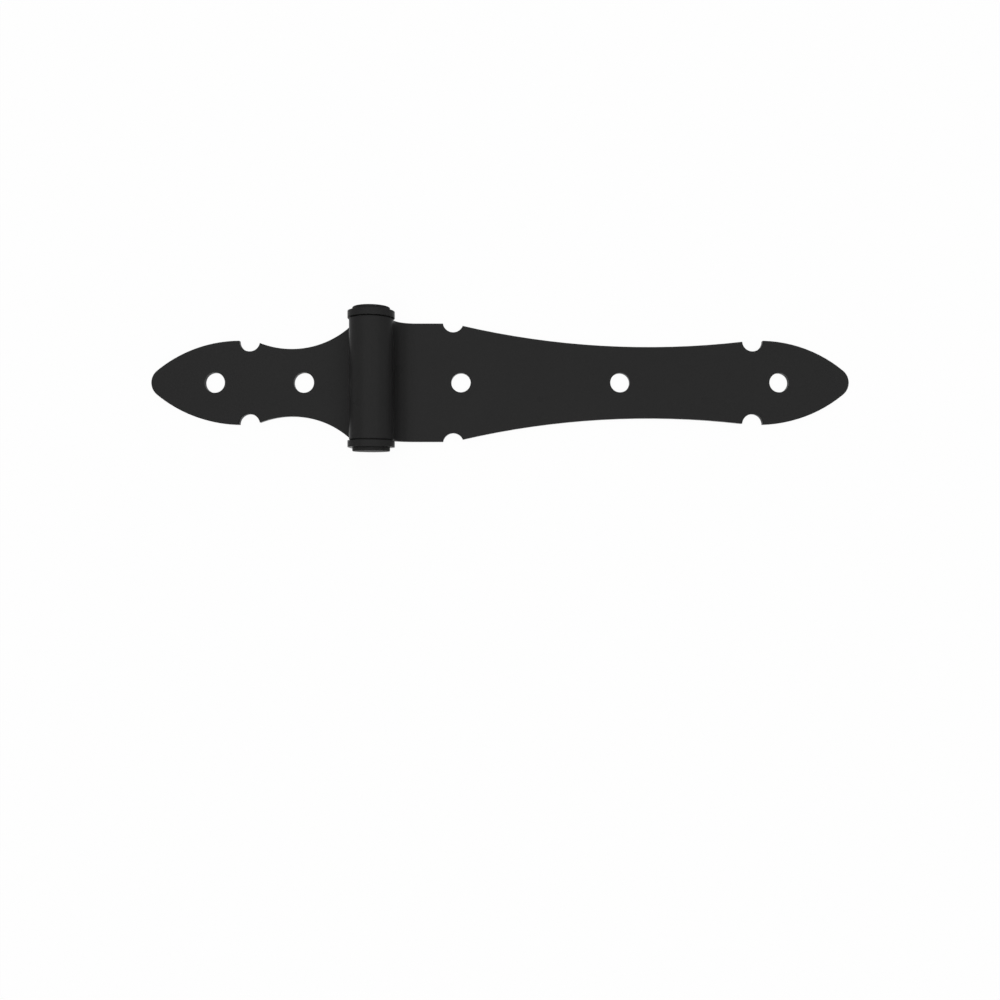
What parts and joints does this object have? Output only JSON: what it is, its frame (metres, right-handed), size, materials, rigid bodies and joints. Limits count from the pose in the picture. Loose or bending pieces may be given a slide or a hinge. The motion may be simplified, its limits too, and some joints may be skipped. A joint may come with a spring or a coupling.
{
  "type": "half strap hinge",
  "caption": "Strap hinge with a long pointed leaf rolled into its barrel and a short pointed leaf whose ears hold the pin, in black coated steel sheet.",
  "frame": {"origin": "on the short leaf's back face, straight under the axis of the hinge pin", "axes": "+X along the long leaf towards its tip, +Y along the hinge pin, +Z out of the front faces, away from the door and post"},
  "size_m": [0.2193, 0.044, 0.0168],
  "materials": {
    "leaf_coating": "satin black powder coat on steel sheet",
    "pin_coating": "satin black powder coat over a riveted steel pin"
  },
  "bodies": {
    "post_side": {"short_leaf": "leaf_coating", "hinge_pin": "pin_coating"},
    "door_side": {"long_leaf": "leaf_coating"}
  },
  "joints": [
    {"name": "hinge_swing", "type": "hinge", "parent": "post_side", "child": "door_side", "pos_m": [0, 0, 0.0096], "axis": [0, -1, 0], "range_deg": [0, 180]}
  ]
}
